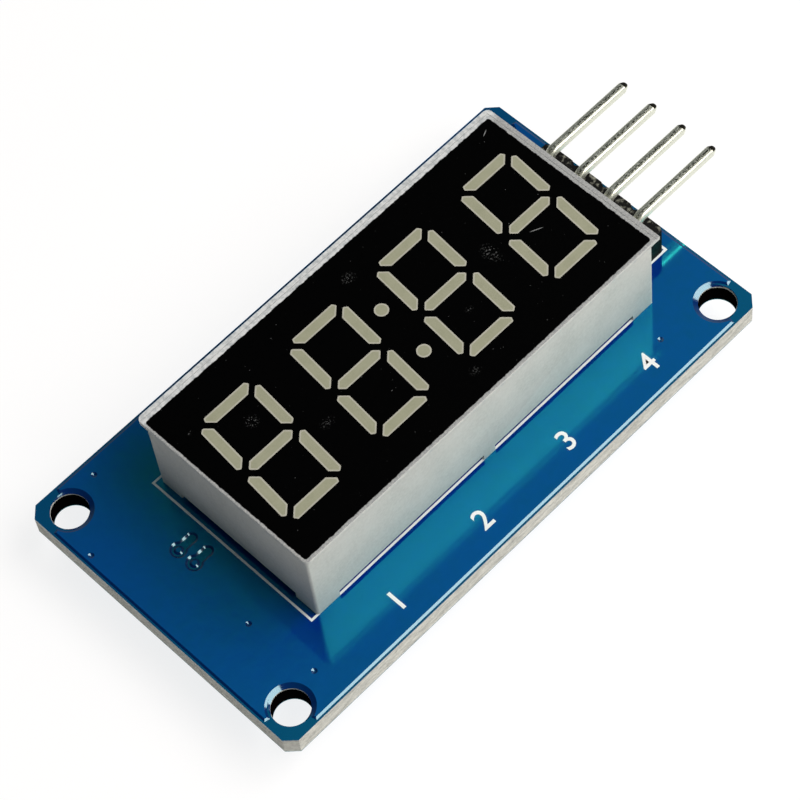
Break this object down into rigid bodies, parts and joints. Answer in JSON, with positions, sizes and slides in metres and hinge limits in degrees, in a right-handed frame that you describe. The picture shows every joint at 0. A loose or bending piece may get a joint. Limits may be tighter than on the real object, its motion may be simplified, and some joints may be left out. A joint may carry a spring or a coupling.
{
  "type": "seven segment display module",
  "caption": "Clock style digit display on a blue circuit board, with a driver chip underneath, a bent pin header at one end and a mounting hole in each corner.",
  "frame": {"origin": "centre of the four mounting holes, on the circuit board's underside", "axes": "+X along the board's long side towards the header pins, +Y across the board towards the top of the digits, +Z out of the display's face"},
  "size_m": [0.047, 0.0236, 0.011],
  "materials": {
    "solder_mask_laminate": "glossy",
    "housing_plastic": "matt",
    "black_film": "glossy",
    "segment_resin": "satin",
    "lamp_board_laminate": "matt",
    "light_chip": "satin",
    "potting_resin": "satin",
    "tinned_pin": "bright",
    "solder": "bright",
    "header_plastic": "satin",
    "chip_plastic": "matt",
    "resistor_glaze": "satin",
    "capacitor_ceramic": "matt"
  },
  "bodies": {
    "root": {"circuit_board": "solder_mask_laminate", "display_housing": "housing_plastic", "front_film": "black_film", "led_board": "lamp_board_laminate", "led_dies": "light_chip", "potting_resin": "potting_resin", "digit_1_segment_a": "segment_resin", "digit_1_segment_b": "segment_resin", "digit_1_segment_c": "segment_resin", "digit_1_segment_d": "segment_resin", "digit_1_segment_e": "segment_resin", "digit_1_segment_f": "segment_resin", "digit_1_segment_g": "segment_resin", "digit_2_segment_a": "segment_resin", "digit_2_segment_b": "segment_resin", "digit_2_segment_c": "segment_resin", "digit_2_segment_d": "segment_resin", "digit_2_segment_e": "segment_resin", "digit_2_segment_f": "segment_resin", "digit_2_segment_g": "segment_resin", "digit_3_segment_a": "segment_resin", "digit_3_segment_b": "segment_resin", "digit_3_segment_c": "segment_resin", "digit_3_segment_d": "segment_resin", "digit_3_segment_e": "segment_resin", "digit_3_segment_f": "segment_resin", "digit_3_segment_g": "segment_resin", "digit_4_segment_a": "segment_resin", "digit_4_segment_b": "segment_resin", "digit_4_segment_c": "segment_resin", "digit_4_segment_d": "segment_resin", "digit_4_segment_e": "segment_resin", "digit_4_segment_f": "segment_resin", "digit_4_segment_g": "segment_resin", "colon_dot_upper": "segment_resin", "colon_dot_lower": "segment_resin", "display_leads": "tinned_pin", "display_solder": "solder", "header_body": "header_plastic", "header_pin_1": "tinned_pin", "header_pin_2": "tinned_pin", "header_pin_3": "tinned_pin", "header_pin_4": "tinned_pin", "header_solder": "solder", "driver_chip_body": "chip_plastic", "driver_chip_leads": "tinned_pin", "resistor_1": "resistor_glaze", "resistor_2": "resistor_glaze", "capacitor_1": "capacitor_ceramic", "capacitor_2": "capacitor_ceramic", "capacitor_3": "capacitor_ceramic", "capacitor_4": "capacitor_ceramic", "end_caps": "tinned_pin", "end_cap_solder": "solder"}
  },
  "joints": []
}
